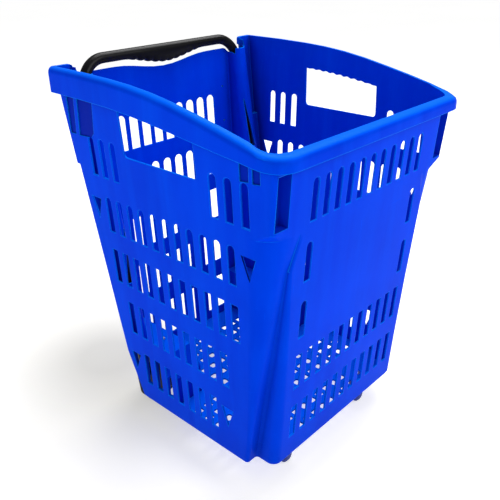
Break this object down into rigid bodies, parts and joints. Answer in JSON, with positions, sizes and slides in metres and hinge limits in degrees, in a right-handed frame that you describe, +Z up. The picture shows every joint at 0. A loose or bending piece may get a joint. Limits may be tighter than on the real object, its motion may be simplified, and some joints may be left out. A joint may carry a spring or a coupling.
{
  "type": "rolling shopping basket",
  "caption": "Tall tapered slotted plastic basket on wheels and front feet, with a pull-out U handle sliding on rods at the rear.",
  "frame": {"origin": "on the floor, midway between the left and right rims and midway between the foremost and rearmost points with the handle down", "axes": "+X to the right side wall, +Y to the rear where the handle is, +Z up; the front panel faces -Y"},
  "size_m": [0.4282, 0.4345, 0.5996],
  "materials": {
    "blue_shell": "satin moulded polypropylene",
    "black_handle": "glossy black",
    "black_plastic": "fine texture",
    "navy_foot": "satin",
    "tyre": "matt",
    "zinc_steel": "zinc plated"
  },
  "bodies": {
    "basket": {"basket_shell": "blue_shell", "rod_guide_lower_left": "black_plastic", "rod_guide_upper_left": "black_plastic", "guide_screw_lower_left": "zinc_steel", "guide_screw_upper_left": "zinc_steel", "wheel_bracket_left": "black_plastic", "bracket_screw_front_left": "zinc_steel", "bracket_screw_rear_left": "zinc_steel", "wheel_axle_left": "zinc_steel", "axle_push_nut_left": "zinc_steel", "front_foot_left": "navy_foot", "foot_screw_left": "zinc_steel", "rod_guide_lower_right": "black_plastic", "rod_guide_upper_right": "black_plastic", "guide_screw_lower_right": "zinc_steel", "guide_screw_upper_right": "zinc_steel", "wheel_bracket_right": "black_plastic", "bracket_screw_front_right": "zinc_steel", "bracket_screw_rear_right": "zinc_steel", "wheel_axle_right": "zinc_steel", "axle_push_nut_right": "zinc_steel", "front_foot_right": "navy_foot", "foot_screw_right": "zinc_steel"},
    "handle": {"handle_bow": "black_handle", "handle_rod_left": "black_handle", "handle_rod_right": "black_handle", "rod_stop_left": "black_plastic", "rod_stop_right": "black_plastic"},
    "wheel_left": {"wheel_hub_left": "black_plastic", "wheel_tyre_left": "tyre"},
    "wheel_right": {"wheel_hub_right": "black_plastic", "wheel_tyre_right": "tyre"}
  },
  "joints": [
    {"name": "handle_slide", "type": "slide", "parent": "basket", "child": "handle", "axis": [0, 0.1657, 0.9862], "range_m": [0, 0.346]},
    {"name": "wheel_left_spin", "type": "hinge", "parent": "basket", "child": "wheel_left", "pos_m": [-0.1375, 0.1427, 0.024], "axis": [1, 0, 0], "continuous": true},
    {"name": "wheel_right_spin", "type": "hinge", "parent": "basket", "child": "wheel_right", "pos_m": [0.1375, 0.1427, 0.024], "axis": [1, 0, 0], "continuous": true}
  ]
}
